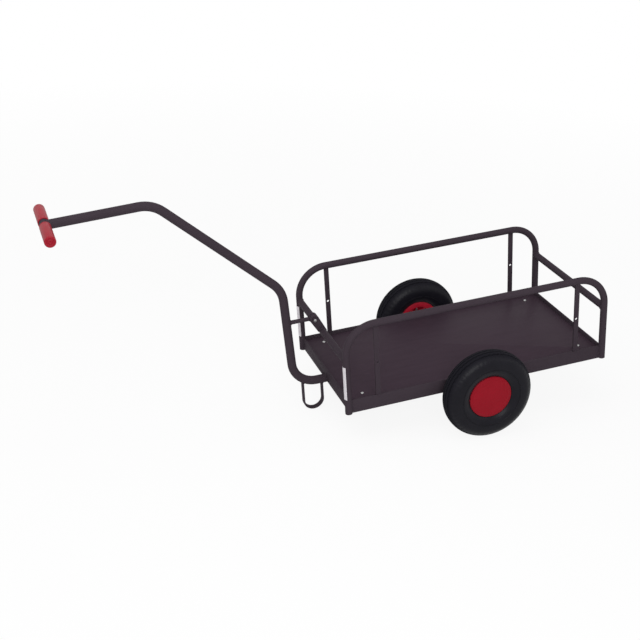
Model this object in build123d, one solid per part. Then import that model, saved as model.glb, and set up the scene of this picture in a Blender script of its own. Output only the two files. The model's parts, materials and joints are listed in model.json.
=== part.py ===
# Two-wheeled hand cart: a flat deck between two tube hoops, one bent drawbar with a T-handle,
# a U-shaped parking stand and two pneumatic wheels outside the deck. Millimetres.
# The cart is drawn with its deck level: X forward, Y left, Z up, zero at the middle of the axle.
# It is then turned nose down about the axle until the stand meets the floor, as it parks.
import os
from math import asin, atan2, cos, degrees, hypot, radians, sin

from build123d import *

# Wheels
WHEEL_D = 260.0
TYRE_W = 72.0
WHEEL_GAP = 13.5
TREAD_FLAT_W = 30.0
WALL_OUTER_D = 218.0
WALL_INNER_D = 158.0
RIM_FLANGE_D = 125.0
RIM_FLANGE_T = 4.0
RIM_W = 48.0
RIM_WELL_D = 100.0
RIM_WALL = 4.0
WEB_T = 6.0
WEB_OFFSET = 10.0
RIM_RIBS = 6
RIM_RIB_T = 5.0
HUB_D = 36.0
HUB_OUTER_END = 18.0
HUB_CAP_T = 4.0
HUB_CAP_LIP = 6.0
HUB_CAP_LIP_T = 3.0
CAP_EDGE_STEPS = 3

# Axle
AXLE_D = 20.0
COLLAR_D = 32.0
COLLAR_L = 12.0
WASHER_D = 34.0
WASHER_T = 2.5

# Side frames, with the deck level
DECK_FRAME_L = 800.0
HOOP_SPACING = 414.0
HOOP_TUBE_D = 20.0
HOOP_WALL = 2.0
HOOP_RISE = 260.0
HOOP_BEND_R = 85.0
RAIL_H = 40.0
RAIL_T = 4.0
MEMBER_RECESS = 12.0
UPRIGHT_W = 14.0
UPRIGHT_T = 5.0
UPRIGHT_HOLE_D = 8.0
UPRIGHT_HOLE_UP = 103.0
UPRIGHT_INSET = 98.0
CROSSBAR_UP = 162.0

# Deck
DECK_T = 9.0
DECK_SINK = 10.0
DECK_GAP = 1.0
BEARER_W = 40.0
BEARER_T = 3.0
BEARER_INSET = 65.0

# Reflective strips on the front legs
STRIP_L = 100.0
STRIP_T = 0.5
STRIP_HALF_ANGLE = 57.0
STRIP_UP = 7.0

# Drawbar: corners of its centre line, as X ahead of the deck frame's end and Z above the axle
DRAWBAR_D = 25.0
DRAWBAR_WALL = 2.5
FOOT_AHEAD = 82.0
KNEE = (96.0, 305.5)
SHOULDER = (422.0, 616.8)
HANDLE = (697.0, 609.5)
FOOT_BEND_R = 70.0
UPPER_BEND_R = 85.0

# T-handle
HANDLE_TUBE_D = 25.0
HANDLE_WALL = 2.0
GRIP_D = 30.0
GRIP_SPAN = 244.0
GRIP_MIDDLE_GAP = 28.0
GRIP_END_T = 5.0
GRIP_ROUND = 5.0
GRIP_DISH = 1.6
GRIP_BOSS_D = 10.0

# Stay between the drawbar and the front crossbar, its bolt placed like the drawbar's corners
STAY_D = 12.0
STAY_EYE_T = 10.0
STAY_EYE_R = 11.0
STAY_BOLT = (12.0, 203.0)
LUG_T = 6.0
LUG_R = 13.0
LUG_FOOT_W = 26.0
LUG_WEB_T = 5.0
BOLT_D = 8.0
BOLT_HEAD_AF = 13.0
BOLT_HEAD_H = 5.3
NUT_H = 6.5
BOLT_END = 3.0

# Parking stand
STAND_BAR_W = 14.0
STAND_BAR_T = 5.0
STAND_AHEAD = 29.0
STAND_SPACING = 57.0
STAND_DROP = 77.0

# Clearances
WELD_GAP = 0.2
RUNNING_FIT = 0.05
SEAT_GAP = 0.3
BOLT_PLAY = 0.2
AXIAL_PLAY = 0.5

# Places worked out from the sizes above
wheel_r = WHEEL_D / 2
axle_r = AXLE_D / 2
hoop_y = HOOP_SPACING / 2
hoop_r = HOOP_TUBE_D / 2
frame_end = DECK_FRAME_L / 2
leg_x = frame_end - hoop_r
member_x = frame_end - MEMBER_RECESS - RAIL_T / 2
upright_x = frame_end - UPRIGHT_INSET
bearer_x = frame_end - BEARER_INSET
rail_face_y = hoop_y + RAIL_T / 2
deck_top = RAIL_H - DECK_SINK
deck_bottom = deck_top - DECK_T
bearer_bottom = deck_bottom - BEARER_T
drawbar_r = DRAWBAR_D / 2
drawbar_z = bearer_bottom - drawbar_r - WELD_GAP
foot_x = frame_end + FOOT_AHEAD
knee_x = frame_end + KNEE[0]
shoulder_x = frame_end + SHOULDER[0]
handle_x = frame_end + HANDLE[0]
handle_z = HANDLE[1]
bolt_x = frame_end + STAY_BOLT[0]
bolt_z = STAY_BOLT[1]
stand_x = frame_end + STAND_AHEAD
stand_outer_r = (STAND_SPACING + STAND_BAR_T) / 2
stand_arc_z = drawbar_z - drawbar_r - STAND_DROP + stand_outer_r
wheel_y = rail_face_y + WHEEL_GAP + TYRE_W / 2
flange_r = RIM_FLANGE_D / 2
rim_half = RIM_W / 2
collar_inner_y = rail_face_y + SEAT_GAP
hub_inner_y = collar_inner_y + COLLAR_L + AXIAL_PLAY
hub_outer_y = wheel_y + HUB_OUTER_END

# Parked pose: the stand's round foot and the tyres stand on one floor
reach = hypot(stand_x, stand_arc_z)
park_tilt = asin((wheel_r - stand_outer_r) / reach) + atan2(stand_arc_z, stand_x)
front_end = handle_x * cos(park_tilt) + handle_z * sin(park_tilt) + GRIP_D / 2
rear_end = -frame_end * cos(park_tilt)
park = Pos(-(front_end + rear_end) / 2, 0, wheel_r) * Rot(0, degrees(park_tilt), 0)

pieces = {}


def block(x0, x1, y0, y1, z0, z1):
    """A box between three pairs of limits."""
    middle = Pos((x0 + x1) / 2, (y0 + y1) / 2, (z0 + z1) / 2)
    return middle * Box(x1 - x0, y1 - y0, z1 - z0)


def bar_across(radius, y0, y1, x=0.0, z=0.0):
    """A round bar along Y between y0 and y1."""
    return Pos(x, (y0 + y1) / 2, z) * Rot(90, 0, 0) * Cylinder(radius, y1 - y0)


def post(radius, z0, z1, x, y):
    """A round bar along Z between z0 and z1."""
    return Pos(x, y, (z0 + z1) / 2) * Cylinder(radius, z1 - z0)


def bent_bar(corners, radii, radius, wall=0.0):
    """A round bar, or a tube when it has a wall, along straight runs joined by bends."""
    path = FilletPolyline(*corners, radius=radii)
    section = Circle(radius)
    if wall:
        section -= Circle(radius - wall)
    return sweep((path ^ 0) * section, path=path)


def outline_plate(outline, y0, y1):
    """A plate cut to an outline in X and Z, between y0 and y1."""
    face = Plane.XZ * outline
    return Pos(0, y1, 0) * extrude(face, y1 - y0)


def both_sides(name, left_piece):
    """Keep a left-hand piece and its mirror image on the right."""
    pieces[name + "_left"] = left_piece
    pieces[name + "_right"] = mirror(left_piece, Plane.XZ)


# Side frames: hoop, rail and uprights stand in one plane
def hoop_corners(z_foot):
    top = HOOP_RISE
    return [
        (leg_x, hoop_y, z_foot),
        (leg_x, hoop_y, top),
        (-leg_x, hoop_y, top),
        (-leg_x, hoop_y, z_foot),
    ]


hoop_radii = [HOOP_BEND_R, HOOP_BEND_R]
both_sides("hoop", bent_bar(hoop_corners(0.0), hoop_radii, hoop_r, HOOP_WALL))

rail_end = leg_x - hoop_r - WELD_GAP
rail = block(-rail_end, rail_end, hoop_y - RAIL_T / 2, rail_face_y, 0, RAIL_H)
rail -= bar_across(axle_r + WELD_GAP, 0, 2 * hoop_y)
both_sides("side_rail", rail)

for place, x in (("front", upright_x), ("rear", -upright_x)):
    top = HOOP_RISE - hoop_r
    upright = block(
        x - UPRIGHT_W / 2, x + UPRIGHT_W / 2, hoop_y - UPRIGHT_T / 2, hoop_y + UPRIGHT_T / 2,
        RAIL_H, top - WELD_GAP,
    )
    upright -= bar_across(UPRIGHT_HOLE_D / 2, 0, 2 * hoop_y, x, RAIL_H + UPRIGHT_HOLE_UP)
    both_sides("upright_" + place, upright)

# Members and crossbars close the two ends between the hoop legs
for place, end in (("front", 1), ("rear", -1)):
    legs = [post(hoop_r + WELD_GAP, -RAIL_H, HOOP_RISE, end * leg_x, y) for y in (-hoop_y, hoop_y)]
    member = block(
        end * member_x - RAIL_T / 2, end * member_x + RAIL_T / 2, -hoop_y, hoop_y, 0, RAIL_H,
    )
    member -= legs
    if place == "front":
        notch = Pos(member_x, 0, drawbar_z) * Rot(0, 90, 0)
        member -= notch * Cylinder(drawbar_r + WELD_GAP, 2 * RAIL_T)
        member -= block(
            member_x - RAIL_T, member_x + RAIL_T, -drawbar_r - WELD_GAP, drawbar_r + WELD_GAP,
            -RAIL_H, drawbar_z,
        )
    pieces[place + "_member"] = member

    crossbar = bar_across(hoop_r, -hoop_y, hoop_y, end * leg_x, CROSSBAR_UP)
    crossbar -= bar_across(hoop_r - HOOP_WALL, -hoop_y, hoop_y, end * leg_x, CROSSBAR_UP)
    pieces["crossbar_" + place] = crossbar - legs

# Deck panel on three cross bearers, its corners cut round the hoop legs
panel_x = member_x - RAIL_T / 2 - DECK_GAP
panel_y = hoop_y - RAIL_T / 2 - DECK_GAP
panel = block(-panel_x, panel_x, -panel_y, panel_y, deck_bottom, deck_top)
for x in (-leg_x, leg_x):
    for y in (-hoop_y, hoop_y):
        panel -= post(hoop_r + DECK_GAP, 0, RAIL_H, x, y)
pieces["deck_panel"] = panel

bearer_end = hoop_y - RAIL_T / 2
for place, x in (("front", bearer_x), ("middle", 0.0), ("rear", -bearer_x)):
    pieces["deck_bearer_" + place] = block(
        x - BEARER_W / 2, x + BEARER_W / 2, -bearer_end, bearer_end, bearer_bottom, deck_bottom,
    )

# Reflective strips wrapped round the front of the front legs
strip_inner = hoop_r + WELD_GAP / 2
strip_outer = strip_inner + STRIP_T
strip_angle = radians(STRIP_HALF_ANGLE)
strip_edges = []
for radius, turn in ((strip_inner, -1), (strip_outer, 1)):
    tip = (radius * cos(strip_angle), turn * radius * sin(strip_angle))
    strip_edges.append(ThreePointArc((tip[0], -tip[1]), (radius, 0), tip))
strip_edges.append(Line(strip_edges[0] @ 1, strip_edges[1] @ 0))
strip_edges.append(Line(strip_edges[1] @ 1, strip_edges[0] @ 0))
strip = extrude(make_face(strip_edges), STRIP_L)
both_sides("reflective_strip", Pos(leg_x, hoop_y, RAIL_H + STRIP_UP) * strip)

# Drawbar, its rear end cut round the axle and its front end round the handle tube
drawbar_corners = [
    (0, 0, drawbar_z),
    (foot_x, 0, drawbar_z),
    (knee_x, 0, KNEE[1]),
    (shoulder_x, 0, SHOULDER[1]),
    (handle_x, 0, handle_z),
]
drawbar_radii = [FOOT_BEND_R, UPPER_BEND_R, UPPER_BEND_R]
drawbar_full = bent_bar(drawbar_corners, drawbar_radii, drawbar_r + WELD_GAP)
drawbar = bent_bar(drawbar_corners, drawbar_radii, drawbar_r, DRAWBAR_WALL)
handle_r = HANDLE_TUBE_D / 2
drawbar -= bar_across(axle_r + WELD_GAP, -DRAWBAR_D, DRAWBAR_D)
drawbar -= block(-DRAWBAR_D, 0, -DRAWBAR_D, DRAWBAR_D, -DRAWBAR_D, DRAWBAR_D)
drawbar -= bar_across(handle_r + WELD_GAP, -DRAWBAR_D, DRAWBAR_D, handle_x, handle_z)
pieces["drawbar"] = max(drawbar.solids(), key=lambda solid: solid.volume)

# T-handle with two grips, each drawn about Y and then set at the handle
handle_place = Pos(handle_x, 0, handle_z)
handle_end = GRIP_SPAN / 2 - GRIP_END_T - SEAT_GAP
handle = bar_across(handle_r, -handle_end, handle_end)
handle -= bar_across(handle_r - HANDLE_WALL, -handle_end, handle_end)
pieces["handle_tube"] = handle_place * handle

grip_r = GRIP_D / 2
grip_end = GRIP_SPAN / 2
grip = bar_across(grip_r, GRIP_MIDDLE_GAP / 2, grip_end)
end_edges = grip.edges().filter_by(GeomType.CIRCLE).sort_by(Axis.Y)
grip = fillet(end_edges[-1], GRIP_ROUND)
grip -= bar_across(handle_r + WELD_GAP / 2, 0, handle_end + SEAT_GAP)
dish = bar_across(grip_r - GRIP_ROUND, grip_end - GRIP_DISH, grip_end + GRIP_DISH)
grip -= dish - bar_across(GRIP_BOSS_D / 2, 0, 2 * grip_end)
both_sides("grip", handle_place * grip)

# Stay: a rod from the drawbar, its flattened eye bolted in a forked lug on the front crossbar
stay_middle = Pos((knee_x + bolt_x) / 2, 0, bolt_z)
stay = stay_middle * Rot(0, 90, 0) * Cylinder(STAY_D / 2, knee_x - bolt_x)
eye_neck = bolt_x + LUG_R + SEAT_GAP
stay -= block(bolt_x - LUG_R, eye_neck, -STAY_D, STAY_D, bolt_z - LUG_R, bolt_z + LUG_R)
eye_outline = Pos(bolt_x, bolt_z) * Circle(STAY_EYE_R)
eye_outline += Pos((bolt_x + eye_neck) / 2, bolt_z) * Rectangle(eye_neck - bolt_x, STAY_D)
stay += outline_plate(eye_outline, -STAY_EYE_T / 2, STAY_EYE_T / 2)
stay -= bar_across(BOLT_D / 2 + BOLT_PLAY, -LUG_R, LUG_R, bolt_x, bolt_z)
pieces["stay"] = stay - drawbar_full

lug_y = STAY_EYE_T / 2 + WELD_GAP / 2
lug_foot = [(leg_x - LUG_FOOT_W / 2, CROSSBAR_UP), (leg_x + LUG_FOOT_W / 2, CROSSBAR_UP)]
lug_outline = make_hull(
    [Pos(bolt_x, bolt_z) * Edge.make_circle(LUG_R), Edge.make_line(*lug_foot)]
)
lug_face_y = lug_y + LUG_T
lug = outline_plate(lug_outline, -lug_face_y, lug_face_y)
fork_floor = CROSSBAR_UP + hoop_r + LUG_WEB_T
lug -= block(
    leg_x - LUG_FOOT_W, bolt_x + 2 * LUG_R, -lug_y, lug_y, fork_floor, bolt_z + 2 * LUG_R,
)
lug -= bar_across(hoop_r + WELD_GAP, -hoop_y, hoop_y, leg_x, CROSSBAR_UP)
lug -= bar_across(BOLT_D / 2 + BOLT_PLAY, -hoop_y, hoop_y, bolt_x, bolt_z)
pieces["stay_lug"] = max(lug.solids(), key=lambda solid: solid.volume)

hexagon = Pos(bolt_x, bolt_z) * RegularPolygon(BOLT_HEAD_AF / 2, 6, major_radius=False)
bolt_seat = lug_face_y + WELD_GAP / 2
bolt = outline_plate(hexagon, -bolt_seat - BOLT_HEAD_H, -bolt_seat)
bolt += outline_plate(hexagon, bolt_seat, bolt_seat + NUT_H)
bolt += bar_across(BOLT_D / 2, -bolt_seat, bolt_seat + NUT_H + BOLT_END, bolt_x, bolt_z)
pieces["stay_bolt"] = bolt

# Parking stand: one flat bar bent to a U, its legs cut to the underside of the drawbar
leg_half = STAND_SPACING / 2
stand_foot = Circle(stand_outer_r) - Circle(stand_outer_r - STAND_BAR_T)
stand_foot -= Pos(0, stand_outer_r) * Rectangle(4 * stand_outer_r, 2 * stand_outer_r)
stand_outline = Pos(stand_x, stand_arc_z) * stand_foot
stand_top = drawbar_z + drawbar_r
leg_length = stand_top - stand_arc_z
for x in (stand_x - leg_half, stand_x + leg_half):
    stand_outline += Pos(x, stand_arc_z + leg_length / 2) * Rectangle(STAND_BAR_T, leg_length)
stand = outline_plate(stand_outline, -STAND_BAR_W / 2, STAND_BAR_W / 2) - drawbar_full
pieces["stand"] = max(stand.solids(), key=lambda solid: solid.volume)

# Axle with its collars against the rails and its washers behind the hub caps
washer_y = hub_outer_y + AXIAL_PLAY
axle_end = washer_y + WASHER_T
pieces["axle"] = bar_across(axle_r, -axle_end, axle_end)
collar = bar_across(COLLAR_D / 2, collar_inner_y, collar_inner_y + COLLAR_L)
both_sides("axle_collar", collar - bar_across(axle_r + WELD_GAP / 2, 0, wheel_y))
washer = bar_across(WASHER_D / 2, washer_y, axle_end)
both_sides("axle_washer", washer - bar_across(axle_r + WELD_GAP / 2, 0, 2 * wheel_y))


# Wheels, drawn about Y with X as the radius and Y as the distance out from the middle plane
def turned(outline):
    """A ring turned about the wheel's axis, set at the left wheel."""
    return Pos(0, wheel_y, 0) * revolve(outline, Axis.Y)


def ring_outline(r0, r1, s0, s1):
    """A rectangle between two radii and two distances from the wheel's middle plane."""
    return Pos((r0 + r1) / 2, (s0 + s1) / 2) * Rectangle(r1 - r0, s1 - s0)


well_r = RIM_WELL_D / 2
bore_r = axle_r + RUNNING_FIT
hub_r = HUB_D / 2
barrel_r = well_r - RIM_WALL
rim_outline = ring_outline(barrel_r, well_r, -rim_half, rim_half)
for side in (-1, 1):
    middle = side * (rim_half - RIM_FLANGE_T / 2)
    rim_outline += ring_outline(
        barrel_r, flange_r, middle - RIM_FLANGE_T / 2, middle + RIM_FLANGE_T / 2,
    )
rim_outline += ring_outline(bore_r, hub_r, hub_inner_y - wheel_y, HUB_OUTER_END)
rim_outline += ring_outline(hub_r, barrel_r, WEB_OFFSET - WEB_T / 2, WEB_OFFSET + WEB_T / 2)
rim = turned(rim_outline)
rib_inner = wheel_y - rim_half + RIM_FLANGE_T
rib_outer = wheel_y + WEB_OFFSET
rib = block(
    hub_r - RIM_WALL / 2, barrel_r + RIM_WALL / 2, rib_inner, rib_outer, -RIM_RIB_T / 2, RIM_RIB_T / 2,
)
for count in range(RIM_RIBS):
    rim += Rot(0, count * 360 / RIM_RIBS, 0) * rib
both_sides("rim", rim)

# Hub cap: a flat disc with its edge rounded in a few cones, and a lip inside the rim
cap_seat = rim_half + WELD_GAP / 2
cap_face = cap_seat + HUB_CAP_T
cap_points = [(0, cap_face), (0, cap_seat)]
for step in range(CAP_EDGE_STEPS + 1):
    turn = radians(90 * step / CAP_EDGE_STEPS)
    cap_points.append((flange_r - HUB_CAP_T * (1 - cos(turn)), cap_seat + HUB_CAP_T * sin(turn)))
cap_outline = make_face(Polyline(*cap_points, close=True))
lip_r = barrel_r - SEAT_GAP
cap_outline += ring_outline(lip_r - HUB_CAP_LIP_T, lip_r, cap_seat - HUB_CAP_LIP, cap_seat)
both_sides("hub_cap", turned(cap_outline))

# Tyre: seated between the flanges and bulging over them, its round section cut as an octagon
bead_s = rim_half - RIM_FLANGE_T - SEAT_GAP
outer_half = [
    (well_r + SEAT_GAP, bead_s),
    (flange_r + SEAT_GAP, bead_s),
    (WALL_INNER_D / 2, TYRE_W / 2),
    (WALL_OUTER_D / 2, TYRE_W / 2),
    (wheel_r, TREAD_FLAT_W / 2),
]
inner_half = [(radius, -distance) for radius, distance in reversed(outer_half)]
both_sides("tyre", turned(make_face(Polyline(*outer_half, *inner_half, close=True))))

os.makedirs("parts", exist_ok=True)
for name, piece in pieces.items():
    export_step(park * piece, f"parts/{name}.step")
print(f"{len(pieces)} nodes, parked {degrees(park_tilt):.2f} degrees nose down")
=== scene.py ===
# %% [markdown]
# # A two-wheeled hand cart
# The cart is a flat deck between two steel hoops, pulled by one bent drawbar with a T-handle.
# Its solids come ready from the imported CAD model, so this lesson adds what solids lack: rounded edges,
# tread, welds, bolts and finishes. Loading the frame first means that every piece is placed from it.

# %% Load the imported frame
import json
import math
from functools import cached_property

import bmesh
import bpy
from mathutils import Matrix, Quaternion, Vector
from mathutils.bvhtree import BVHTree


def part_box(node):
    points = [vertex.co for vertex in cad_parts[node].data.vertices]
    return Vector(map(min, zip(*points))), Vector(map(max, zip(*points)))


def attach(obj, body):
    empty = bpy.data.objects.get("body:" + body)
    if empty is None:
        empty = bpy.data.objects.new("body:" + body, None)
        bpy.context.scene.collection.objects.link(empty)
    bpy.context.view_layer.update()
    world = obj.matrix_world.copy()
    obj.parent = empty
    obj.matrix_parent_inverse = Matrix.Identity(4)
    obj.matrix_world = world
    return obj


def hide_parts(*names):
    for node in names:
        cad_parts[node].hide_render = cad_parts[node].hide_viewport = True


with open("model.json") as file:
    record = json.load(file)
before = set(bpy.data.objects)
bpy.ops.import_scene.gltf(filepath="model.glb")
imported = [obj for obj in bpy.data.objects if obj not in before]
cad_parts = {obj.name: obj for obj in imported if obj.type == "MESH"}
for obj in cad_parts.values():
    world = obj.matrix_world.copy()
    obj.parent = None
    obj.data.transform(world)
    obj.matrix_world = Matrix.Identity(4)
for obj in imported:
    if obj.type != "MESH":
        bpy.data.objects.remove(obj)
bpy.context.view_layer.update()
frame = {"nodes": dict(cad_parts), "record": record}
nodes = frame["nodes"]
record = frame["record"]

# %% [markdown]
# ## The cart's own axes
# The cart parks nose down on its stand, so its rails aren't level in the scene. Working in tilted numbers
# would be hard to read. We could model it level and turn everything afterwards, but the wheels and the CAD
# nodes are already in place. So we build one matrix from the axle and the deck's own up direction, and give
# all places as millimetres ahead of, left of and above the middle of the axle.

# %% Axes from the axle and the deck
MM = 0.001
left_wheel, right_wheel = (Vector(joint["pos_m"]) for joint in record["behaviour"]["joints"])
deck_mount = next(mount for mount in record["mounts"] if mount["name"] == "load_deck")
deck_up = Vector(deck_mount["axis"]).normalized()
across = Vector((0, 1, 0))
cart = Matrix((across.cross(deck_up), across, deck_up)).transposed().to_4x4()
cart.translation = (left_wheel + right_wheel) / 2
cart = cart @ Matrix.Scale(MM, 4)
to_cart = cart.inverted()


def cart_box(name):
    """Lowest and highest corner of a CAD node, in millimetres in the cart's axes."""
    points = [to_cart @ vertex.co for vertex in nodes[name].data.vertices]
    low = Vector(min(point[axis] for point in points) for axis in range(3))
    high = Vector(max(point[axis] for point in points) for axis in range(3))
    return low, high


hoop_low, hoop_high = cart_box("hoop_left")
hoop_r = (hoop_high.y - hoop_low.y) / 2
hoop_y = (hoop_high.y + hoop_low.y) / 2
leg_x = hoop_high.x - hoop_r
rail_low, rail_high = cart_box("side_rail_left")
wheel_y = (left_wheel.y - right_wheel.y) / 2 / MM
print(f"hoop tube {2 * hoop_r:.1f} mm, legs at {leg_x:.0f} mm, wheels {2 * wheel_y:.0f} mm apart")

# %% [markdown]
# ## A way to write finishes
# A finish is a node tree, and trees grow long when each Math node is added by hand. Here a small class wraps
# an output socket, so that `1 - mask` or `grain * 0.3` adds its own Math nodes. Every other node comes from
# one method that takes its type, its settings and its inputs, so a finish reads like a short recipe.


# %% Sockets that do sums
class Wire:
    """An output socket of a finish. Sums with numbers or other wires add Math nodes."""

    def __init__(self, finish, socket):
        self.finish = finish
        self.socket = socket

    def sum(self, operation, first, second):
        return self.finish.add("ShaderNodeMath", {"operation": operation}, {0: first, 1: second})

    def __add__(self, other):
        return self.sum("ADD", self, other)

    def __sub__(self, other):
        return self.sum("SUBTRACT", self, other)

    def __rsub__(self, other):
        return self.sum("SUBTRACT", other, self)

    def __mul__(self, other):
        return self.sum("MULTIPLY", self, other)

    def larger(self, other):
        return self.sum("MAXIMUM", self, other)

    __radd__ = __add__
    __rmul__ = __mul__


class Finish:
    """A material, or the studio's world, in the making. `add` is the one way to put a node in it."""

    def __init__(self, name, owner=None):
        self.owner = owner or bpy.data.materials.new(name)
        self.owner.use_nodes = True
        self.tree = self.owner.node_tree
        self.tree.nodes.clear()

    @cached_property
    def place(self):
        """Where a point lies in the parked cart, in metres."""
        return self.add("ShaderNodeTexCoord", output="Object")

    @cached_property
    def seen(self):
        """One for what the eye sees, straight or by way of a mirror or glass, and else zero."""
        camera, glossy, through = (
            self.add("ShaderNodeLightPath", output=f"Is {ray} Ray")
            for ray in ("Camera", "Glossy", "Transmission")
        )
        return camera.larger(glossy).larger(through)

    def add(self, kind, settings=None, inputs=None, output=0):
        node = self.tree.nodes.new(kind)
        for key, value in (settings or {}).items():
            if key == "stops":
                ramp = node.color_ramp.elements
                while len(ramp) < len(value):
                    ramp.new(1.0)
                for element, (position, shade) in zip(ramp, value):
                    element.position = position
                    element.color = (shade, shade, shade, 1.0)
            else:
                setattr(node, key, value)
        for key, value in (inputs or {}).items():
            if isinstance(value, Wire):
                self.tree.links.new(value.socket, node.inputs[key])
            else:
                node.inputs[key].default_value = value
        if node.outputs:
            return Wire(self, node.outputs[output])

    def noise(self, scale, detail=3.0, stretch=(1.0, 1.0, 1.0)):
        """Cloudy values around 0.5. The scale is in features a metre."""
        place = self.add("ShaderNodeMapping", inputs={"Vector": self.place, "Scale": stretch})
        return self.add("ShaderNodeTexNoise", inputs={"Vector": place, "Scale": scale, "Detail": detail})

    def ramp(self, value, *stops):
        """A value bent through grey stops."""
        return self.add("ShaderNodeValToRGB", {"stops": stops}, {"Fac": value})

    def blend(self, factor, first, second):
        """A colour between two, given as linear red, green and blue."""
        colours = [c if isinstance(c, Wire) else (*c, 1.0) for c in (first, second)]
        inputs = {0: factor, 6: colours[0], 7: colours[1]}
        return self.add("ShaderNodeMix", {"data_type": "RGBA"}, inputs, output=2)

    def shade(self, height=None, depth=0.0, **sockets):
        """Close the tree with a Principled shader, and a bump that is `depth` millimetres deep."""
        inputs = {key.replace("_", " "): value for key, value in sockets.items()}
        if height is not None:
            bump = {"Strength": 1.0, "Distance": depth * MM, "Height": height}
            inputs["Normal"] = self.add("ShaderNodeBump", inputs=bump)
        surface = self.add("ShaderNodeBsdfPrincipled", inputs=inputs)
        self.add("ShaderNodeOutputMaterial", inputs={"Surface": surface})
        print("finish:", self.owner.name, len(self.tree.nodes), "nodes")
        return self.owner


# %% [markdown]
# ## Powder-coated steel
# Hoops, rails, drawbar and stand share one dark, nearly matt coat. A plain dark colour looks like a hole in
# the picture, because real powder coat is a skin with orange peel and a slightly uneven gloss. So broad
# clouds shift the colour a little, a fine noise gives the peel, and a few specks stay rougher.

# %% Painted steel
COAT_DARK = (0.0368, 0.0272, 0.0352)
COAT_LIGHT = (0.0496, 0.0372, 0.0470)
coat = Finish("painted_steel")
clouds = coat.noise(scale=6.0, detail=4.0)
peel = coat.noise(scale=700.0, detail=2.0)
specks = coat.ramp(coat.noise(scale=2200.0, detail=1.0), (0.60, 0.0), (0.72, 1.0))
painted_steel = coat.shade(
    Base_Color=coat.blend(clouds, COAT_DARK, COAT_LIGHT),
    Roughness=0.60 + clouds * 0.12 + specks * 0.10,
    Specular_IOR_Level=0.05,
    height=peel + specks * 0.3,
    depth=0.05,
)

# %% [markdown]
# ## Film-faced deck board
# The deck is plywood with a dark phenolic film. Under the film the veneer's grain still shows as long faint
# streaks, and use leaves fine scuffs. An image would do this, but stretched noise follows the board at any
# size: one noise drawn out along the deck for the grain, a thinner one for the scuffs.

# %% Deck board
FILM_DARK = (0.0325, 0.0203, 0.0292)
FILM_LIGHT = (0.0535, 0.0352, 0.0486)
film = Finish("deck_board")
veneer = film.noise(scale=70.0, detail=4.0, stretch=(0.08, 1.0, 1.0))
patches = film.noise(scale=5.0)
scratches = film.noise(scale=260.0, detail=1.0, stretch=(0.05, 1.0, 1.0))
scuffs = film.ramp(scratches, (0.66, 0.0), (0.74, 1.0))
pores = film.noise(scale=900.0, detail=1.0)
deck_board = film.shade(
    Base_Color=film.blend(veneer * 0.5 + patches * 0.5 + scuffs * 0.45, FILM_DARK, FILM_LIGHT),
    Roughness=0.40 + patches * 0.16 + scuffs * 0.08,
    Specular_IOR_Level=0.04,
    height=veneer + pores * 0.5,
    depth=0.06,
)

# %% [markdown]
# ## Tyre rubber
# Rubber is never pure black: carbon makes it a cool dark grey, matt on the tread and a little shinier on the
# moulded wall. The distance from the axle tells the two apart, so the mask needs no painting. Fine rings,
# left by the turned mould, are a sine of that same distance.

# %% Rubber
tyre_low, tyre_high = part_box("tyre_left")
tyre_r = tyre_high[2] / 2
TREAD_START = 0.90 * tyre_r
TREAD_FADE = 0.008
RING_WAVES = 4200.0
RUBBER_DARK = (0.0046, 0.0044, 0.0068)
RUBBER_LIGHT = (0.0096, 0.0090, 0.0132)
rubber = Finish("tyre_rubber")
axle_place = (left_wheel.x, 0.0, left_wheel.z)
from_axle = rubber.add("ShaderNodeVectorMath", {"operation": "SUBTRACT"}, {0: rubber.place, 1: axle_place})
flat = rubber.add("ShaderNodeVectorMath", {"operation": "MULTIPLY"}, {0: from_axle, 1: (1.0, 0.0, 1.0)})
radius = rubber.add("ShaderNodeVectorMath", {"operation": "LENGTH"}, {0: flat}, output="Value")
tread = rubber.add(
    "ShaderNodeMapRange",
    inputs={"Value": radius, "From Min": TREAD_START, "From Max": TREAD_START + TREAD_FADE},
)
bloom = rubber.noise(scale=35.0, detail=4.0)
grain = rubber.noise(scale=1500.0, detail=2.0)
rings = rubber.add("ShaderNodeMath", {"operation": "SINE"}, {0: radius * RING_WAVES})
tyre_rubber = rubber.shade(
    Base_Color=rubber.blend(bloom, RUBBER_DARK, RUBBER_LIGHT),
    Roughness=0.28 + tread * 0.54 + bloom * 0.1,
    Specular_IOR_Level=0.11,
    height=grain * 0.6 + rings * (1 - tread) * 0.35,
    depth=0.05,
)

# %% [markdown]
# ## Red plastics
# The caps are moulded in a deep red and the grips are a softer vinyl. The rims are the same red plastic made
# lighter: painted light for their inner sides, which the lamps leave in shade. Moulded colour swirls a little
# where the melt flowed, and no moulding is optically flat. Three trees would say the same thing three times,
# so one function makes all of them: it takes the two reds, the roughness, the scale of the grain and the
# gloss.


# %% Moulded reds
def moulded(name, deep, bright, roughness, grain, gloss):
    """A coloured plastic with faint flow marks and a fine grain."""
    plastic = Finish(name)
    flow = plastic.noise(scale=18.0, detail=5.0)
    skin = plastic.noise(scale=grain, detail=2.0)
    return plastic.shade(
        Base_Color=plastic.blend(flow, deep, bright),
        Roughness=roughness - 0.05 + flow * 0.10 + skin * 0.04,
        Specular_IOR_Level=gloss,
        height=skin + flow * 0.3,
        depth=0.03,
    )


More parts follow.
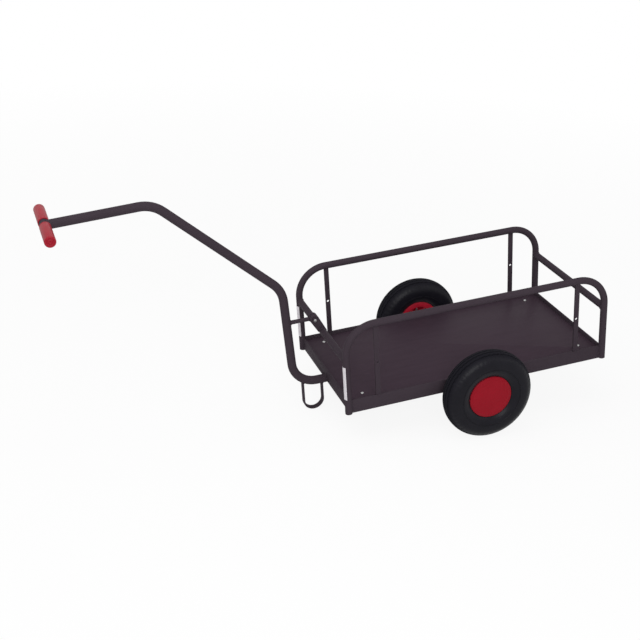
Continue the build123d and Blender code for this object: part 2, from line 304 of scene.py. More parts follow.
CAP_DEEP, CAP_BRIGHT = (0.215, 0.0011, 0.0079), (0.274, 0.0025, 0.0122)
GRIP_DEEP, GRIP_BRIGHT = (0.262, 0.0030, 0.0130), (0.330, 0.0060, 0.0200)
# The rims' red is the caps' red made lighter: painted light for the rims' inner sides, left in shade by the
# lamps.
RIM_DEEP_PAINTED_LIGHT, RIM_BRIGHT_PAINTED_LIGHT = (0.330, 0.0070, 0.0200), (0.420, 0.0120, 0.0300)
red_plastic = moulded("red_plastic", CAP_DEEP, CAP_BRIGHT, roughness=0.36, grain=500.0, gloss=0.12)
red_grip = moulded("red_grip", GRIP_DEEP, GRIP_BRIGHT, roughness=0.42, grain=900.0, gloss=0.20)
red_rim_painted_light = moulded("red_rim_painted_light", RIM_DEEP_PAINTED_LIGHT, RIM_BRIGHT_PAINTED_LIGHT, roughness=0.34, grain=500.0, gloss=0.25)

# %% [markdown]
# ## Zinc and reflective tape
# Bolts and collars are zinc plated: a dull silver that is never quite even. The white strips are reflective
# tape, which close up is a honeycomb of sealed cells. Modelling each cell would be too much for so thin a
# strip. A Voronoi texture's distance to the edge draws the cells, and the same value lifts them a few
# hundredths of a millimetre.

# %% Zinc
ZINC_DARK = (0.30, 0.30, 0.31)
ZINC_LIGHT = (0.46, 0.46, 0.45)
zinc = Finish("zinc_steel")
plating = zinc.noise(scale=60.0, detail=4.0)
lathe = zinc.noise(scale=1200.0, detail=2.0, stretch=(1.0, 0.15, 1.0))
zinc_steel = zinc.shade(
    Base_Color=zinc.blend(plating, ZINC_DARK, ZINC_LIGHT),
    Metallic=1.0,
    Roughness=0.24 + plating * 0.14 + lathe * 0.06,
    height=lathe,
    depth=0.02,
)

# %% Reflective tape
CELL_WALL = (0.48, 0.46, 0.48)
CELL_FACE = (0.71, 0.67, 0.71)
CELLS_A_METRE = 320.0
tape = Finish("reflective_tape")
walls = tape.add(
    "ShaderNodeTexVoronoi",
    {"feature": "DISTANCE_TO_EDGE"},
    {"Vector": tape.place, "Scale": CELLS_A_METRE, "Randomness": 0.35},
)
cells = tape.ramp(walls, (0.02, 0.0), (0.10, 1.0))
reflective_tape = tape.shade(
    Base_Color=tape.blend(cells, CELL_WALL, CELL_FACE),
    Roughness=0.50 - cells * 0.18,
    Specular_IOR_Level=0.3,
    height=cells,
    depth=0.03,
)

# %% Finishes on the CAD nodes
FINISHES = {
    "painted_steel": painted_steel,
    "deck_board": deck_board,
    "tyre_rubber": tyre_rubber,
    "red_plastic": red_plastic,
    "red_grip": red_grip,
    "reflective_tape": reflective_tape,
    "zinc_steel": zinc_steel,
}
for part in record["subparts"]:
    coats = nodes[part["node"]].data.materials
    coats.clear()
    coats.append(FINISHES[part["material_slot"]])
print("finishes on CAD nodes:", len(record["subparts"]))

# %% [markdown]
# ## Making a piece
# Every new piece is a mesh in scene metres whose object stays at the origin, just like the CAD nodes. It is
# shaded smooth and split only where two faces meet at a clear angle. One function does this, gives the piece
# the finish of its slot, hangs it on its body and hides the nodes it stands for. The finish is the slot's own
# unless another is given, as for the rims.


# %% From mesh to piece
def make_piece(name, mesh_data, slot, body, replaced=(), sharp=38.0, finish=None):
    """Turn a bmesh into a finished object that rides on a body."""
    bmesh.ops.recalc_face_normals(mesh_data, faces=mesh_data.faces)
    mesh = bpy.data.meshes.new(name)
    mesh_data.to_mesh(mesh)
    mesh_data.free()
    mesh.shade_smooth()
    mesh.set_sharp_from_angle(angle=math.radians(sharp))
    mesh.materials.append(finish or FINISHES[slot])
    piece = bpy.data.objects.new(name, mesh)
    bpy.context.collection.objects.link(piece)
    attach(piece, body)
    if replaced:
        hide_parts(*replaced)
    print(f"{name}: {len(mesh.polygons)} faces on {body}")
    return piece


def bridge(mesh_data, rings, closed=False):
    """Faces between rings of points, each ring a closed loop of the same length."""
    loops = [[mesh_data.verts.new(point) for point in ring] for ring in rings]
    count = len(loops[0])
    pairs = list(zip(loops, loops[1:]))
    if closed:
        pairs.append((loops[-1], loops[0]))
    for first, second in pairs:
        for here in range(count):
            after = (here + 1) % count
            mesh_data.faces.new((first[here], first[after], second[after], second[here]))
    return loops


# %% [markdown]
# ## Rounded steel edges
# Flat bar and sheet never end in a perfect edge: rolling and paint leave a radius that catches the light, and
# without it a render looks like cardboard. A Bevel modifier could round the CAD nodes, but those stay as they
# are. So each gets a copy: its triangles are merged back into flats, and only the sharp edges are bevelled,
# by about as much as on the real bar.


# %% Bevelled copies of the CAD pieces
SAME_POINT = 0.002 * MM
FLAT_ANGLE = math.radians(0.5)
EDGE_ANGLE = math.radians(40)


def soften(name, width, slot="painted_steel", body="frame", finish=None):
    """A copy of a CAD node with rounded edges, which stands for that node."""
    copy = bmesh.new()
    copy.from_mesh(nodes[name].data)
    bmesh.ops.remove_doubles(copy, verts=copy.verts, dist=SAME_POINT)
    bmesh.ops.dissolve_limit(copy, angle_limit=FLAT_ANGLE, verts=copy.verts, edges=copy.edges)
    sharp = [edge for edge in copy.edges if edge.is_manifold and edge.calc_face_angle() > EDGE_ANGLE]
    bmesh.ops.bevel(
        copy, geom=sharp, offset=width * MM, offset_type="OFFSET", segments=2, profile=0.5,
        affect="EDGES", clamp_overlap=True,
    )
    return make_piece(name + "_rounded", copy, slot, body, replaced=[name], sharp=50.0, finish=finish)


# %% Bars, deck, collars and rims
SIDES = {"left": 1, "right": -1}
FLAT_BARS = {
    "front_member": 0.7, "rear_member": 0.7, "stand": 1.0, "stay": 1.0, "stay_lug": 1.0,
    "deck_bearer_front": 0.6, "deck_bearer_middle": 0.6, "deck_bearer_rear": 0.6,
}
for side_name in SIDES:
    FLAT_BARS[f"side_rail_{side_name}"] = 0.7
    FLAT_BARS[f"upright_front_{side_name}"] = 0.8
    FLAT_BARS[f"upright_rear_{side_name}"] = 0.8
for name, width in FLAT_BARS.items():
    soften(name, width)
soften("deck_panel", 0.8, slot="deck_board")
# The rims take the lightened red, which is painted light for their shaded inner sides.
for side_name in SIDES:
    soften(f"axle_collar_{side_name}", 0.8, slot="zinc_steel")
    soften(f"rim_{side_name}", 0.9, slot="red_plastic", body=f"wheel_{side_name}", finish=red_rim_painted_light)

# %% [markdown]
# ## Turned pieces
# Tyres, caps, grips and bolts are all a section turned about a line. Blender's Screw modifier could turn
# them, but the tyre's section changes as it goes round and a nut has six sides, so we write the rings
# ourselves. A section is a short list of corners, and a small function rounds each corner with a curve, as a
# mould would.


# %% Sections and rings
def rounded(corners, radius=0.0, steps=4):
    """A section with its corners rounded. A corner may carry its own radius as a third number."""
    points = []
    count = len(corners)
    for index, corner in enumerate(corners):
        before, here, after = (Vector(corners[(index + step) % count][:2]) for step in (-1, 0, 1))
        wanted = corner[2] if len(corner) > 2 else radius
        reach = min(wanted, (before - here).length / 2, (after - here).length / 2)
        start = here + (before - here).normalized() * reach
        end = here + (after - here).normalized() * reach
        for step in range(steps + 1 if reach else 1):
            way = step / steps
            points.append(start.lerp(here, way).lerp(here.lerp(end, way), way))
    return points


def around(place, along, radius, distance, angle):
    """A point at a radius and angle about a line, and at a distance along it. The line never runs along X."""
    along = Vector(along)
    first = Vector((1, 0, 0))
    second = along.cross(first)
    spoke = first * math.cos(angle) + second * math.sin(angle)
    return cart @ (Vector(place) + along * distance + spoke * radius)


def turned(mesh_data, section, place, along, segments=64):
    """A closed section of radius and distance, turned about a line."""
    rings = []
    for step in range(segments):
        angle = 2 * math.pi * step / segments
        rings.append([around(place, along, radius, distance, angle) for radius, distance in section])
    bridge(mesh_data, rings, closed=True)
    bmesh.ops.remove_doubles(mesh_data, verts=mesh_data.verts, dist=SAME_POINT / 2)


def wheel_middle(side):
    """The middle of a wheel, and the direction out of the cart along its axle."""
    return (0, side * wheel_y, 0), (0, side, 0)


# %% [markdown]
# ## Tyres
# A trolley tyre is nearly round in section, with grooves that run round the tread, faint notches in its
# shoulder and two raised rings on its wall. A bump map would lose the grooves at the outline. So each ring of
# points is worked out for its own angle: the outline is a squared-off circle, the grooves swing from side to
# side, and the shoulder drops a little at each notch.

# %% Tyre sizes
KEPT_INSIDE = 0.1
WALL_RING_H = 0.7
TYRE_HALF_W = (tyre_high[1] - tyre_low[1]) / 2 / MM - WALL_RING_H - KEPT_INSIDE
TYRE_R = tyre_r / MM - KEPT_INSIDE
TYRE_MIDDLE_R = 93.0
SQUARENESS = 2.35
WAVES = 54
SEGMENTS_A_WAVE = 6
GROOVES = (5.5, 16.5)
GROOVE_HALF_W = 1.7
GROOVE_DEPTH = 3.4
GROOVE_SWING = 0.9
# Share of the groove's half width, and 1 where it is sunk
GROOVE_SHAPE = ((-1.25, 0), (-1.0, 0), (-0.65, 1), (0.65, 1), (1.0, 0), (1.25, 0))
# Distances out from the tyre's middle plane
SHOULDER = (21.0, 22.3, 23.0, 25.5, 28.0, 30.0, 31.6, 32.6, 33.6, 34.4, TYRE_HALF_W)
NOTCH_FROM, NOTCH_TO, NOTCH_DEPTH = 22.5, 32.0, 0.5
NOTCHED_STEPS = (0, 1)
print(f"tyre {2 * TYRE_R:.1f} mm across, wall {2 * TYRE_HALF_W:.1f} mm wide, {WAVES} waves of tread")


# %% Tread outline
def tread_r(out):
    """Radius of the bare tyre at a distance out from its middle plane."""
    share = min(abs(out) / TYRE_HALF_W, 1.0)
    return TYRE_MIDDLE_R + (TYRE_R - TYRE_MIDDLE_R) * (1 - share**SQUARENESS) ** (1 / SQUARENESS)


def half_tread(swing, notch):
    """Points from the middle of the tread to the widest place of the wall."""
    points = [(tread_r(0.0), 0.0)]
    for groove in GROOVES:
        for offset, sunk in GROOVE_SHAPE:
            out = groove + swing + offset * GROOVE_HALF_W
            points.append((tread_r(out) - sunk * GROOVE_DEPTH, out))
    for out in SHOULDER:
        drop = notch * NOTCH_DEPTH if NOTCH_FROM < out < NOTCH_TO else 0.0
        points.append((tread_r(out) - drop, out))
    return points


# %% Tyre wall and bead
rim_low, rim_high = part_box("rim_left")
FLANGE_R = (rim_high[2] - rim_low[2]) / 2 / MM
# Radius, and distance out from the tyre's widest place
WALL_CURVE = [(92.0, 0.0), (83.0, 0.0), (FLANGE_R + 10.5, -2.5), (FLANGE_R + 2.2, -9.6)]
WALL_STEPS = 16
WALL_RINGS = (0.16, 0.24)
RING_CLEAR = 0.025
# Offset along the wall's curve, and share of the ring's height
RING_SHAPE = ((-0.022, 0.0), (-0.012, 0.8), (0.0, 1.0), (0.012, 0.8), (0.022, 0.0))
# Radius, and distance out from the tyre's middle plane
TYRE_BEAD = [(FLANGE_R + 1.4, 25.2), (FLANGE_R + 1.0, 24.4), (FLANGE_R + 1.0, 19.6), (51.0, 19.6)]


def wall_points():
    """Points down the wall to the rim's edge, with its raised rings."""
    places = {step / WALL_STEPS: 0.0 for step in range(1, WALL_STEPS + 1)}
    for ring in WALL_RINGS:
        places = {way: lift for way, lift in places.items() if abs(way - ring) > RING_CLEAR}
        places.update({ring + offset: lift for offset, lift in RING_SHAPE})
    a, b, c, d = (Vector(corner) for corner in WALL_CURVE)
    points = []
    for way, lift in sorted(places.items()):
        back = 1 - way
        spot = a * back**3 + b * 3 * way * back**2 + c * 3 * way**2 * back + d * way**3
        points.append((spot.x, TYRE_HALF_W + spot.y + lift * WALL_RING_H))
    return points


print(f"rim flange {2 * FLANGE_R:.1f} mm, {len(wall_points())} points down each wall")


# %% Whole tyres
def tyre_section(swing, notch):
    """The whole closed section of the tyre at one angle."""
    outer = half_tread(swing, notch) + wall_points() + TYRE_BEAD
    inner = [(radius, -out) for radius, out in half_tread(-swing, notch)[1:] + wall_points() + TYRE_BEAD]
    return outer + inner[::-1]


def zigzag(step):
    """A zigzag between -1 and 1 that comes back with each wave of the tread."""
    share = (step % SEGMENTS_A_WAVE) / SEGMENTS_A_WAVE
    return 4 * abs(share - 0.5) - 1


for side_name, side in SIDES.items():
    tyre = bmesh.new()
    steps = WAVES * SEGMENTS_A_WAVE
    rings = []
    for step in range(steps):
        notch = 1 if step % SEGMENTS_A_WAVE in NOTCHED_STEPS else 0
        angle = 2 * math.pi * step / steps
        rings.append([
            around(*wheel_middle(side), radius, out, angle)
            for radius, out in tyre_section(zigzag(step) * GROOVE_SWING, notch)
        ])
    bridge(tyre, rings, closed=True)
    make_piece(
        f"tyre_treaded_{side_name}", tyre, "tyre_rubber", f"wheel_{side_name}",
        replaced=[f"tyre_{side_name}"], sharp=34.0,
    )

# %% [markdown]
# ## Hub caps
# The outer side of each wheel is closed by a plain red cap. In the photograph its red darkens towards the
# lower edge, which tells that it is slightly domed. A flat disc would look like a sticker. The section is
# turned once, with a soft edge and the same lip as the CAD cap.

# %% Domed caps
cap_low, cap_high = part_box("hub_cap_left")
CAP_INSIDE = 0.2
CAP_R = (cap_high[2] - cap_low[2]) / 2 / MM - CAP_INSIDE
CAP_BACK = 24.2
CAP_EDGE_H, CAP_EDGE_W = 2.2, 4.5
CAP_EDGE = CAP_BACK + CAP_EDGE_H
CAP_RISE = 1.0
CAP_TOP = cap_high[1] / MM - wheel_y
LIP_INNER_R, LIP_OUTER_R = 42.9, 45.6
LIP_BACK = cap_low[1] / MM - wheel_y
BACK_ROUND, EDGE_ROUND, FOOT_ROUND = 0.3, 1.8, 1.0
DOME_STEPS = 10

dome_foot = CAP_EDGE + CAP_RISE
dome_r = CAP_R - CAP_EDGE_W
cap_section = [
    (0.0, CAP_BACK), (LIP_INNER_R, CAP_BACK), (LIP_INNER_R, LIP_BACK), (LIP_OUTER_R, LIP_BACK),
    (LIP_OUTER_R, CAP_BACK),
]
cap_section += rounded([
    (CAP_R, CAP_BACK, BACK_ROUND), (CAP_R, CAP_EDGE, EDGE_ROUND), (dome_r, dome_foot, FOOT_ROUND),
])
for step in range(DOME_STEPS + 1):
    share = step / DOME_STEPS
    height = dome_foot + (CAP_TOP - dome_foot) * math.sin(share * math.pi / 2)
    cap_section.append((dome_r * (1 - share), height))
for side_name, side in SIDES.items():
    cap = bmesh.new()
    turned(cap, cap_section, *wheel_middle(side), segments=128)
    make_piece(
        f"hub_cap_domed_{side_name}", cap, "red_plastic", f"wheel_{side_name}",
        replaced=[f"hub_cap_{side_name}"],
    )

# %% [markdown]
# ## Valves
# An air tyre needs a valve. On this wheel a short metal stem comes out of the rim's well and points at the
# axle, in a pocket between two ribs of the inner side. It could be stacked from cylinders, but it is small
# enough to write as one turned section: a round nut on the rim, a stem with a few thread rings and a dust
# cap.

# %% Valve stems
VALVE_OUT = -9.0
VALVE_FOOT_R = 46.2
VALVE_TIP_R = 25.0
VALVE_CAP_ROOM = 9.0
STEM_R, STEM_ROOT_R = 3.0, 2.55
THREAD_PITCH = 1.2
# Radius, and distance from the stem's foot or from its tip
FOOT_NUT = ((0.0, 0.0), (5.4, 0.0), (5.4, 2.6), (4.6, 3.2))
DUST_CAP = ((2.6, 8.2), (3.9, 7.8), (3.9, 1.2), (3.2, 0.0), (0.0, 0.0))

valve_section = [(wide, VALVE_FOOT_R - down) for wide, down in FOOT_NUT]
height = valve_section[-1][1]
while height > VALVE_TIP_R + VALVE_CAP_ROOM:
    valve_section += [(STEM_R, height), (STEM_ROOT_R, height - THREAD_PITCH / 2)]
    height -= THREAD_PITCH
valve_section += [(wide, VALVE_TIP_R + up) for wide, up in DUST_CAP]
for side_name, side in SIDES.items():
    valve = bmesh.new()
    turned(valve, valve_section, (0, side * (wheel_y + VALVE_OUT), 0), (0, 0, 1), segments=28)
    make_piece(f"valve_{side_name}", valve, "zinc_steel", f"wheel_{side_name}")

# %% [markdown]
# ## Grips
# The two red grips are vinyl sleeves: a soft round end, a shallow dish in it and a small boss with a dimple,
# where the mould was filled. Cutting each of these into a cylinder would take many steps. All of them are in
# one section here, turned about the handle tube.

# %% Vinyl grips
grip_low, grip_high = cart_box("grip_left")
handle_low, handle_high = cart_box("handle_tube")
handle_x = (handle_low.x + handle_high.x) / 2
handle_z = (handle_low.z + handle_high.z) / 2
handle_r = (handle_high.z - handle_low.z) / 2
GRIP_INSIDE = 0.05
GRIP_R = (grip_high.z - grip_low.z) / 2 - GRIP_INSIDE
GRIP_END = grip_high.y - GRIP_INSIDE
GRIP_START = grip_low.y
GRIP_ROUND, MOUTH_ROUND, BORE_ROUND = 4.6, 1.0, 0.3
# Radius, depth below the end and rounding: dimple, boss, dish and rim
GRIP_FACE = (
    (0.0, 2.2, 0.0), (1.6, 2.0, 0.5), (3.4, 0.7, 0.8), (5.0, 0.9, 0.8),
    (6.2, 2.0, 0.9), (8.4, 2.0, 0.9), (9.8, 0.0, 0.9),
)
# Depth below the skin, distance from the sleeve's mouth and rounding
GRIP_GROOVE = ((0.0, 5.0, 0.4), (0.5, 4.4, 0.3), (0.5, 3.4, 0.3), (0.0, 2.8, 0.4))
bore_r = handle_r + 0.1
bore_end = handle_high.y + 0.2

corners = [(wide, GRIP_END - depth, curve) for wide, depth, curve in GRIP_FACE]
corners.append((GRIP_R, GRIP_END, GRIP_ROUND))
corners += [(GRIP_R - depth, GRIP_START + way, curve) for depth, way, curve in GRIP_GROOVE]
corners += [(GRIP_R, GRIP_START, MOUTH_ROUND), (bore_r, GRIP_START, BORE_ROUND)]
corners += [(bore_r, bore_end), (0.0, bore_end)]
grip_section = rounded(corners)
for side_name, side in SIDES.items():
    grip = bmesh.new()
    turned(grip, grip_section, (handle_x, 0, handle_z), (0, side, 0), segments=72)
    make_piece(f"grip_moulded_{side_name}", grip, "red_grip", "frame", replaced=[f"grip_{side_name}"])

# %% [markdown]
# ## Bolts and nuts
# A nut is a hexagon whose corners are turned off, which leaves curved chamfers. Cutting it with a cone would
# be the workshop's way. Here each ring takes the smaller of two radii, that of the hexagon and that of the
# cone, and the curves come by themselves.


# %% Hexagons
FACE_SHARE = 0.475
CHAMFER_SLOPE = 0.55
CORNER_GAP = 0.01


def hexagon(mesh_data, across_flats, levels, place, along, segments=60):
    """A hexagonal piece. Each level is a distance along the line and the radius of the cone there."""
    rings = []
    for distance, cone_r in levels:
        ring = []
        for step in range(segments):
            angle = 2 * math.pi * step / segments
            off_flat = (angle + math.pi / 6) % (math.pi / 3) - math.pi / 6
            radius = min(across_flats / 2 / math.cos(off_flat), cone_r)
            ring.append(around(place, along, radius, distance, angle))
        rings.append(ring)
    loops = bridge(mesh_data, rings)
    mesh_data.faces.new(loops[0])
    mesh_data.faces.new(loops[-1])


def nut_levels(start, across_flats, height):
    """A nut or bolt head with both ends chamfered."""
    corner_r = across_flats / math.sqrt(3) + CORNER_GAP
    face_r = across_flats * FACE_SHARE
    drop = (corner_r - face_r) * CHAMFER_SLOPE
    end = start + height
    return [(start, face_r), (start + drop, corner_r), (end - drop, corner_r), (end, face_r)]


# %% Stay bolt and its nut
bolt_low, bolt_high = cart_box("stay_bolt")
lug_low, lug_high = cart_box("stay_lug")
BOLT_AF = min(bolt_high.z - bolt_low.z, bolt_high.x - bolt_low.x)
BOLT_R = 4.0
THREAD_DEPTH = 0.55
THREAD_STOP = 1.4
NUT_H = 6.2
SEAT_GAP = 0.1
# Radius lost, and distance from the CAD bolt's end
BOLT_TIP = ((0.2, 0.9), (1.0, 0.05), (BOLT_R, 0.05))
LEFT = (0, 1, 0)
bolt_place = ((bolt_low.x + bolt_high.x) / 2, 0, (bolt_low.z + bolt_high.z) / 2)

bolt = bmesh.new()
head_start = lug_low.y - SEAT_GAP
hexagon(bolt, BOLT_AF, nut_levels(bolt_low.y, BOLT_AF, head_start - bolt_low.y), bolt_place, LEFT)
thread = [(0.0, head_start), (BOLT_R, head_start)]
distance = lug_high.y
while distance < bolt_high.y - THREAD_STOP:
    thread += [(BOLT_R - THREAD_DEPTH, distance), (BOLT_R, distance + THREAD_PITCH / 2)]
    distance += THREAD_PITCH
thread += [(BOLT_R - lost, bolt_high.y - back) for lost, back in BOLT_TIP]
turned(bolt, thread, bolt_place, LEFT, segments=32)
make_piece("stay_bolt_threaded", bolt, "zinc_steel", "frame", replaced=["stay_bolt"])

nut = bmesh.new()
nut_start = lug_high.y + SEAT_GAP
hexagon(nut, BOLT_AF, nut_levels(nut_start, BOLT_AF, NUT_H), bolt_place, LEFT)
make_piece("stay_nut", nut, "painted_steel", "frame")

# %% Deck bolt sections
deck_top = cart_box("deck_panel")[1].z
bearer_low, bearer_high = cart_box("deck_bearer_front")
DECK_BOLT_Y = 167.0
DECK_BOLT_R = 3.0
DECK_HEAD_R, DECK_HEAD_H = 4.8, 2.3
HEAD_EDGE_H = 0.5
HEAD_STEPS = 8
DECK_NUT_AF, DECK_NUT_H = 10.0, 5.0
WASHER_R, WASHER_T, WASHER_ROUND = 7.5, 1.4, 0.3
WASHER_BORE_R = DECK_BOLT_R + 0.2
LAID_ON = 0.05
deck_bolt_x = (bearer_low.x + bearer_high.x) / 2
UP = (0, 0, 1)

head_foot = deck_top + LAID_ON
head_section = [(0.0, head_foot), (DECK_HEAD_R, head_foot), (DECK_HEAD_R, deck_top + HEAD_EDGE_H)]
for step in range(1, HEAD_STEPS + 1):
    turn = math.pi / 2 * step / HEAD_STEPS
    rise = HEAD_EDGE_H + DECK_HEAD_H * math.sin(turn)
    head_section.append((DECK_HEAD_R * math.cos(turn), deck_top + rise))
washer_low, washer_high = bearer_low.z - WASHER_T, bearer_low.z - LAID_ON
washer_section = rounded([
    (WASHER_BORE_R, washer_low), (WASHER_R, washer_low),
    (WASHER_R, washer_high), (WASHER_BORE_R, washer_high),
], WASHER_ROUND, steps=2)
nut_low = washer_low - DECK_NUT_H
# Radius, and height above the nut's lower face
BOLT_STUB = ((0.0, -3.0), (2.4, -3.0), (DECK_BOLT_R, -2.3), (DECK_BOLT_R, 0.5), (0.0, 0.5))
stub_section = [(wide, nut_low + up) for wide, up in BOLT_STUB]
print(f"deck bolts stand {HEAD_EDGE_H + DECK_HEAD_H:.1f} mm above the deck")

# %% Deck bolts
deck_bolts = bmesh.new()
for x in (-deck_bolt_x, deck_bolt_x):
    for y in (-DECK_BOLT_Y, DECK_BOLT_Y):
        for section in (head_section, washer_section, stub_section):
            turned(deck_bolts, section, (x, y, 0), UP, segments=32)
        hexagon(deck_bolts, DECK_NUT_AF, nut_levels(nut_low, DECK_NUT_AF, DECK_NUT_H), (x, y, 0), UP)
make_piece("deck_bolts", deck_bolts, "zinc_steel", "frame")

# %% [markdown]
# ## Weld beads
# Most of the steel on the cart is welded, and a weld is a small rope of metal with a ripple for each pulse. A
# texture can't give its shape where it is seen from the side. So a bead is a thin round sweep along a path,
# and its radius swells with each ripple. The paths follow the CAD pieces: straight runs from their boxes,
# arcs round the tubes, and the rest from rays that feel for the surface.

# %% A bead along a path
WELD_R = 1.9
RIPPLE = 2.4
RIPPLE_H = 0.13
BEAD_STEP = 0.8
BEAD_SIDES = 8
TIP_SHARE, TIP_GROWTH = 0.45, 0.3


def even_points(path, step):
    """The same path with its points a step apart."""
    points = [path[0]]
    left = step
    for start, end in zip(path, path[1:]):
        length = (end - start).length
        while left <= length:
            points.append(start.lerp(end, left / length))
            left += step
        left -= length
    return points


def bead(mesh_data, path):
    """A rippled weld along a path of points in the cart's axes."""
    points = even_points([Vector(point) for point in path], BEAD_STEP)
    rings = []
    for index, point in enumerate(points):
        before, after = points[max(index - 1, 0)], points[min(index + 1, len(points) - 1)]
        along = (after - before).normalized()
        first = along.orthogonal().normalized()
        second = along.cross(first)
        swell = 1 + RIPPLE_H * math.sin(2 * math.pi * index * BEAD_STEP / RIPPLE)
        tip = min(index, len(points) - 1 - index)
        radius = WELD_R * swell * min(1.0, TIP_SHARE + TIP_GROWTH * tip)
        angles = [2 * math.pi * side / BEAD_SIDES for side in range(BEAD_SIDES)]
        spokes = [first * math.cos(angle) + second * math.sin(angle) for angle in angles]
        rings.append([cart @ (point + spoke * radius) for spoke in spokes])
    loops = bridge(mesh_data, rings)
    mesh_data.faces.new(loops[0])
    mesh_data.faces.new(loops[-1])


# %% Feeling for a surface
def surface(name):
    """A CAD node as a surface that rays can find, in the cart's axes."""
    mesh = nodes[name].data
    points = [to_cart @ vertex.co for vertex in mesh.vertices]
    return BVHTree.FromPolygons(points, [tuple(face.vertices) for face in mesh.polygons])


def turn_path(function, start, end, count=48):
    """Points of a function of an angle, from start to end in degrees. Angles that miss are left out."""
    angles = [math.radians(start + (end - start) * step / count) for step in range(count + 1)]
    return [point for point in map(function, angles) if point is not None]


# %% Beads of the deck frame
member_low, member_high = cart_box("front_member")
bar_low, bar_high = cart_box("crossbar_front")
crossbar_z = (bar_low.z + bar_high.z) / 2
upright_low, upright_high = cart_box("upright_front_left")
SADDLE_R = hoop_r + 0.4
END_MARGIN = 2.0


def saddle(angle, end, side):
    """Where a crossbar's skin meets a hoop leg. End is 1 in front, and side is 1 on the left."""
    depth = math.sqrt(SADDLE_R**2 - (hoop_r * math.cos(angle)) ** 2)
    x = end * leg_x + hoop_r * math.cos(angle)
    z = crossbar_z + hoop_r * math.sin(angle)
    return Vector((x, side * (hoop_y - depth), z))


paths = []
for end in (1, -1):
    for side in (1, -1):
        paths.append(turn_path(lambda angle: saddle(angle, end, side), 0, 360))
        low, high = rail_low.z + END_MARGIN, rail_high.z - END_MARGIN
        for y in (rail_low.y, rail_high.y):
            paths.append([(end * rail_high.x, side * y, low), (end * rail_high.x, side * y, high)])
        for x in (member_low.x, member_high.x):
            y = side * (hoop_y - math.sqrt(hoop_r**2 - (x - leg_x) ** 2))
            paths.append([(end * x, y, low), (end * x, y, high)])
        for y in (upright_low.y, upright_high.y):
            x0, x1 = end * (upright_low.x + END_MARGIN), end * (upright_high.x - END_MARGIN)
            for z in (upright_low.z, upright_high.z):
                paths.append([(x0, side * y, z), (x1, side * y, z)])
print("deck frame beads:", len(paths))

# %% Beads of the bearers, axle and drawbar
axle_low, axle_high = cart_box("axle")
axle_r = (axle_high.z - axle_low.z) / 2
DRAWBAR_R = 12.5
WELD_GAP = 0.2
SEAM_INSET = 0.3
TAIL_SEAM_Y, TAIL_SEAM_DROP = 4.0, 0.6
AXLE_ARC, LUG_ARC, MEMBER_ARC = (10, 170), (15, 165), (-15, 195)
drawbar_z = bearer_low.z - DRAWBAR_R - WELD_GAP
bearer_reach = (bearer_high.x - bearer_low.x) / 2 - END_MARGIN


def arc_across(middle, radius, limits):
    """An arc about a line across the cart, between two angles in degrees."""
    def point(angle):
        return Vector(middle) + Vector((radius * math.cos(angle), 0, radius * math.sin(angle)))

    return turn_path(point, *limits)


for side in (1, -1):
    seam_y = side * (rail_low.y - SEAM_INSET)
    for x in (-deck_bolt_x, 0, deck_bolt_x):
        paths.append([(x - bearer_reach, seam_y, bearer_low.z), (x + bearer_reach, seam_y, bearer_low.z)])
    tail_y, tail_z = side * TAIL_SEAM_Y, bearer_low.z - TAIL_SEAM_DROP
    for x0, x1 in ((bearer_low.x, bearer_high.x), (axle_r, bearer_reach)):
        paths.append([(x0, tail_y, tail_z), (x1, tail_y, tail_z)])
    paths.append(arc_across((0, seam_y, 0), axle_r, AXLE_ARC))
    paths.append(arc_across((leg_x, side * lug_high.y, crossbar_z), hoop_r, LUG_ARC))
for x in (member_low.x, member_high.x):
    paths.append(turn_path(
        lambda angle: Vector((x, DRAWBAR_R * math.cos(angle), drawbar_z + DRAWBAR_R * math.sin(angle))),
        *MEMBER_ARC,
    ))
print("beads with bearers and axle:", len(paths))

# %% Beads of the stand, stay and handle
drawbar = surface("drawbar")
handle = surface("handle_tube")
stand_low, stand_high = cart_box("stand")
stay_low, _ = cart_box("stay")
stay_z = bolt_place[2]
STAND_BAR_T = 5.0
STAND_STEPS = 8
STAY_R = 6.0
NECK_R = 11.6
RAY_START = 40.0
FORWARD = (1, 0, 0)


def stay_ring(angle):
    """Where a ray along the stay's skin meets the drawbar."""
    start = Vector((stay_low.x + RAY_START, STAY_R * math.cos(angle), stay_z + STAY_R * math.sin(angle)))
    return drawbar.ray_cast(start, Vector(FORWARD))[0]


def handle_ring(angle):
    """Where a ray just inside the drawbar's skin meets the handle tube."""
    start = Vector((handle_x - RAY_START, NECK_R * math.cos(angle), handle_z + NECK_R * math.sin(angle)))
    return handle.ray_cast(start, Vector(FORWARD))[0]


paths.append(turn_path(stay_ring, 0, 360))
paths.append(turn_path(handle_ring, 0, 360))
for x in (stand_low.x, stand_low.x + STAND_BAR_T, stand_high.x - STAND_BAR_T, stand_high.x):
    path = []
    for step in range(STAND_STEPS + 1):
        y = stand_low.y + (stand_high.y - stand_low.y) * step / STAND_STEPS
        path.append(drawbar.ray_cast(Vector((x, y, stand_low.z)), Vector(UP))[0])
    paths.append([point for point in path if point is not None])

welds = bmesh.new()
for path in paths:
    bead(welds, path)
make_piece("weld_beads", welds, "painted_steel", "frame", sharp=60.0)

# %% [markdown]
# ## Stage, light and camera
# The photograph is a cut-out on white under soft light from all round. A pale floor and a large light
# overhead give that. More light would make the floor white, but it would bleach the cart too. So what the
# eye sees of the floor is mostly its own white, while a share of real shading keeps the shadow under the
# wheels. The lens and the camera's place come from lining up the hoops, deck and wheels with the photograph.

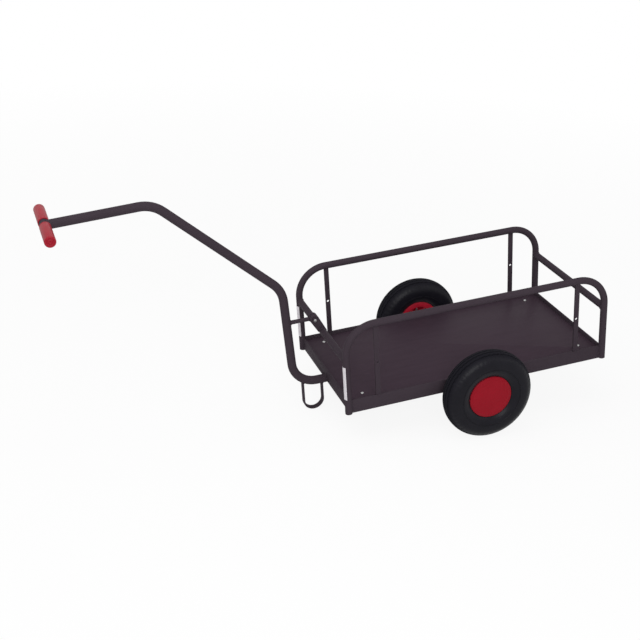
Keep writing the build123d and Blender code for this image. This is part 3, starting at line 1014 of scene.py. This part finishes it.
# %% Floor
FLOOR_SIZE = 30.0
FLOOR_WHITE = 0.90
SHADOW_REACH, WHITE_FROM = 1.0, 4.0
PAPER_DARK = (0.84, 0.84, 0.84)
PAPER_LIGHT = (0.88, 0.88, 0.88)
WHITE = (1.0, 1.0, 1.0, 1.0)
bpy.ops.mesh.primitive_plane_add(size=FLOOR_SIZE)
floor = bpy.context.object
floor.name = "studio_floor"
pale = Finish("studio_floor")
paper = pale.blend(pale.noise(scale=3.0), PAPER_DARK, PAPER_LIGHT)
matt = pale.add("ShaderNodeBsdfDiffuse", inputs={"Color": paper})
glow = pale.add("ShaderNodeEmission", inputs={"Color": WHITE, "Strength": 1.0})
from_cart = pale.add("ShaderNodeVectorMath", {"operation": "LENGTH"}, {0: pale.place}, output="Value")
whiteness = pale.add("ShaderNodeMapRange", inputs={
    "Value": from_cart, "From Min": SHADOW_REACH, "From Max": WHITE_FROM,
    "To Min": FLOOR_WHITE, "To Max": 1.0,
})
mixed = pale.add("ShaderNodeMixShader", inputs={0: pale.seen * whiteness, 1: matt, 2: glow})
pale.add("ShaderNodeOutputMaterial", inputs={"Surface": mixed})
floor.data.materials.append(pale.owner)
print("floor:", floor.name, len(pale.tree.nodes), "nodes")

# %% World
WORLD_LIGHT = 0.45
studio = Finish("white_studio", bpy.data.worlds.new("white_studio"))
brightness = WORLD_LIGHT + studio.seen * (1 - WORLD_LIGHT)
sky = studio.add("ShaderNodeBackground", inputs={"Color": WHITE, "Strength": brightness})
studio.add("ShaderNodeOutputWorld", inputs={"Surface": sky})
bpy.context.scene.world = studio.owner
print("world:", studio.owner.name, len(studio.tree.nodes), "nodes")

# %% Lamps: place in metres, size in metres, power in watts
LAMPS = {
    "overhead": ((1.1, 0.4, 3.1), 3.0, 46.0),
    "front_left": ((0.6, 3.3, 1.8), 2.0, 55.0),
    "rear_left": ((-2.8, 2.2, 2.2), 1.8, 8.0),
}
LAMP_AIM = Vector((-0.1, 0.0, 0.25))
for lamp_name, (spot, size, power) in LAMPS.items():
    lamp = bpy.data.lights.new(lamp_name, "AREA")
    lamp.size = size
    lamp.energy = power
    holder = bpy.data.objects.new(lamp_name, lamp)
    holder.location = spot
    holder.rotation_euler = (LAMP_AIM - Vector(spot)).to_track_quat("-Z", "Y").to_euler()
    bpy.context.collection.objects.link(holder)
print("lamps:", list(LAMPS))

# %% Camera
CAMERA_PLACE = Vector((1.0440, 2.8684, 1.6756))
CAMERA_AIM = Vector((0.0247, 0.0, 0.2794))
CAMERA_ROLL = math.radians(2.78)
CAMERA_LENS = 66.88
lens = bpy.data.cameras.new("camera")
lens.sensor_width = 36.0
lens.sensor_fit = "HORIZONTAL"
lens.lens = CAMERA_LENS
camera = bpy.data.objects.new("camera", lens)
camera.location = CAMERA_PLACE
look = (CAMERA_AIM - CAMERA_PLACE).to_track_quat("-Z", "Y")
camera.rotation_euler = (look @ Quaternion((0, 0, 1), CAMERA_ROLL)).to_euler()
bpy.context.collection.objects.link(camera)
bpy.context.scene.camera = camera
bpy.context.scene.view_settings.view_transform = "Standard"
print(f"camera {(CAMERA_AIM - CAMERA_PLACE).length:.2f} m away, lens {CAMERA_LENS} mm")
